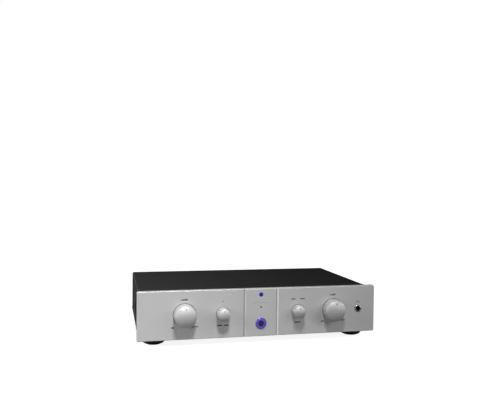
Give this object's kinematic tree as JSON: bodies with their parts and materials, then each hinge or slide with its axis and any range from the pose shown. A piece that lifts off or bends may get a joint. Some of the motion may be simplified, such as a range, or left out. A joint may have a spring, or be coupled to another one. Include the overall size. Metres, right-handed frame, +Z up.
{
  "type": "integrated stereo amplifier",
  "caption": "Slim black-cased stereo amplifier with a thick silver faceplate, domed turning knobs, a ring-lit push button, a headphone socket, rear terminals and round feet.",
  "frame": {"origin": "centre of the bounding box's footprint, on the surface the foot pads stand on", "axes": "+X to the right seen from the front, +Y from the faceplate to the rear panel, +Z up"},
  "size_m": [0.43, 0.31, 0.096],
  "materials": {
    "faceplate_aluminium": "bead-blasted and clear anodised, fine satin",
    "knob_aluminium": "turned and satin anodised",
    "bezel_chrome": "polished chrome plate",
    "light_ring": "translucent, lit from behind",
    "button_cap": "smooth black",
    "spring_steel": "drawn spring wire",
    "control_housing": "moulded black",
    "light_pipe": "dark clear plastic, unlit",
    "badge_blue": "deep blue enamel",
    "jack_plastic": "moulded black",
    "case_black": "black powder coat, fine texture",
    "zinc_steel": "zinc-plated sheet",
    "black_screw": "black zinc",
    "foot_plastic": "moulded black, half gloss",
    "foot_rubber": "soft black rubber",
    "zinc_screw": "bright zinc",
    "turned_steel": "turned",
    "pot_metal": "pressed steel can",
    "circuit_board": "green solder mask",
    "brass_standoff": "turned",
    "component_plastic": "moulded black",
    "capacitor_sleeve": "shrink sleeve",
    "heatsink_aluminium": "extruded, black anodised",
    "core_steel": "wound strip steel",
    "winding_tape": "yellow polyester tape",
    "wire_insulation": "flexible insulation",
    "inlet_plastic": "moulded black",
    "nickel_contact": "nickel plate",
    "rocker_plastic": "moulded black",
    "fuse_glass": "clear tube",
    "gold_plate": "gold plate",
    "cap_black": "clear-coated black",
    "cap_red": "clear-coated red"
  },
  "bodies": {
    "chassis": {"amplifier_board": "circuit_board", "board_components": "component_plastic", "board_standoffs": "brass_standoff", "case_screws": "black_screw", "chassis_base": "zinc_steel", "control_board": "circuit_board", "faceplate": "faceplate_aluminium", "faceplate_screws": "black_screw", "feet": "foot_plastic", "foot_pads": "foot_rubber", "foot_screws": "zinc_screw", "front_badge_disc": "badge_blue", "headphone_jack": "jack_plastic", "headphone_jack_nut": "bezel_chrome", "headphone_pot_body": "pot_metal", "heatsink": "heatsink_aluminium", "indicator_light_pipe": "light_pipe", "input_board": "circuit_board", "input_selector_switch": "control_housing", "internal_wires": "wire_insulation", "line_in_block": "jack_plastic", "line_in_shells": "gold_plate", "mains_inlet_body": "inlet_plastic", "mains_inlet_pins": "nickel_contact", "output_transistors": "component_plastic", "panel_nuts": "turned_steel", "power_button_bezel": "bezel_chrome", "power_button_light_ring": "light_ring", "power_button_spring": "spring_steel", "power_supply_board": "circuit_board", "power_switch_body": "control_housing", "rear_panel": "case_black", "reservoir_capacitors": "capacitor_sleeve", "speaker_post_bases": "jack_plastic", "speaker_post_studs": "gold_plate", "sub_panel": "zinc_steel", "tone_selector_switch": "control_housing", "top_cover": "case_black", "transformer_bolt": "zinc_screw", "transformer_clamp": "zinc_steel", "transformer_core": "core_steel", "transformer_pads": "foot_rubber", "transformer_winding": "winding_tape", "volume_pot_body": "pot_metal"},
    "volume_control": {"volume_knob": "knob_aluminium", "volume_pot_shaft": "turned_steel"},
    "headphone_level_control": {"headphone_level_knob": "knob_aluminium", "headphone_pot_shaft": "turned_steel"},
    "input_selector": {"input_selector_knob": "knob_aluminium", "input_selector_shaft": "turned_steel"},
    "tone_selector": {"tone_selector_knob": "knob_aluminium", "tone_selector_shaft": "turned_steel"},
    "power_button": {"power_button_cap": "button_cap"},
    "mains_rocker": {"mains_rocker": "rocker_plastic"},
    "fuse_drawer": {"fuse_drawer": "inlet_plastic", "mains_fuse": "fuse_glass"},
    "post_cap_right_minus": {"speaker_cap_right_minus": "cap_black"},
    "post_cap_right_plus": {"speaker_cap_right_plus": "cap_red"},
    "post_cap_left_minus": {"speaker_cap_left_minus": "cap_black"},
    "post_cap_left_plus": {"speaker_cap_left_plus": "cap_red"}
  },
  "joints": [
    {"name": "volume_turn", "type": "hinge", "parent": "chassis", "child": "volume_control", "pos_m": [-0.1345, -0.133, 0.054], "axis": [0, 1, 0], "range_deg": [-150, 150]},
    {"name": "headphone_level_turn", "type": "hinge", "parent": "chassis", "child": "headphone_level_control", "pos_m": [0.1345, -0.133, 0.054], "axis": [0, 1, 0], "range_deg": [-150, 150]},
    {"name": "input_selector_turn", "type": "hinge", "parent": "chassis", "child": "input_selector", "pos_m": [-0.068, -0.133, 0.054], "axis": [0, 1, 0], "range_deg": [-60, 60]},
    {"name": "tone_selector_turn", "type": "hinge", "parent": "chassis", "child": "tone_selector", "pos_m": [0.068, -0.133, 0.054], "axis": [0, 1, 0], "range_deg": [-30, 30]},
    {"name": "power_push", "type": "slide", "parent": "chassis", "child": "power_button", "axis": [0, 1, 0], "range_m": [0, 0.002], "stiffness_N_per_m": 600, "springref_m": -0.001, "deforming": ["power_button_spring"]},
    {"name": "mains_rock", "type": "hinge", "parent": "chassis", "child": "mains_rocker", "pos_m": [-0.165, 0.13, 0.076], "axis": [1, 0, 0], "range_deg": [0, 20]},
    {"name": "fuse_drawer_slide", "type": "slide", "parent": "chassis", "child": "fuse_drawer", "axis": [0, 1, 0], "range_m": [0, 0.02]},
    {"name": "cap_right_minus_unscrew", "type": "slide", "parent": "chassis", "child": "post_cap_right_minus", "axis": [0, 1, 0], "range_m": [0, 0.005]},
    {"name": "cap_right_plus_unscrew", "type": "slide", "parent": "chassis", "child": "post_cap_right_plus", "axis": [0, 1, 0], "range_m": [0, 0.005]},
    {"name": "cap_left_minus_unscrew", "type": "slide", "parent": "chassis", "child": "post_cap_left_minus", "axis": [0, 1, 0], "range_m": [0, 0.005]},
    {"name": "cap_left_plus_unscrew", "type": "slide", "parent": "chassis", "child": "post_cap_left_plus", "axis": [0, 1, 0], "range_m": [0, 0.005]}
  ]
}
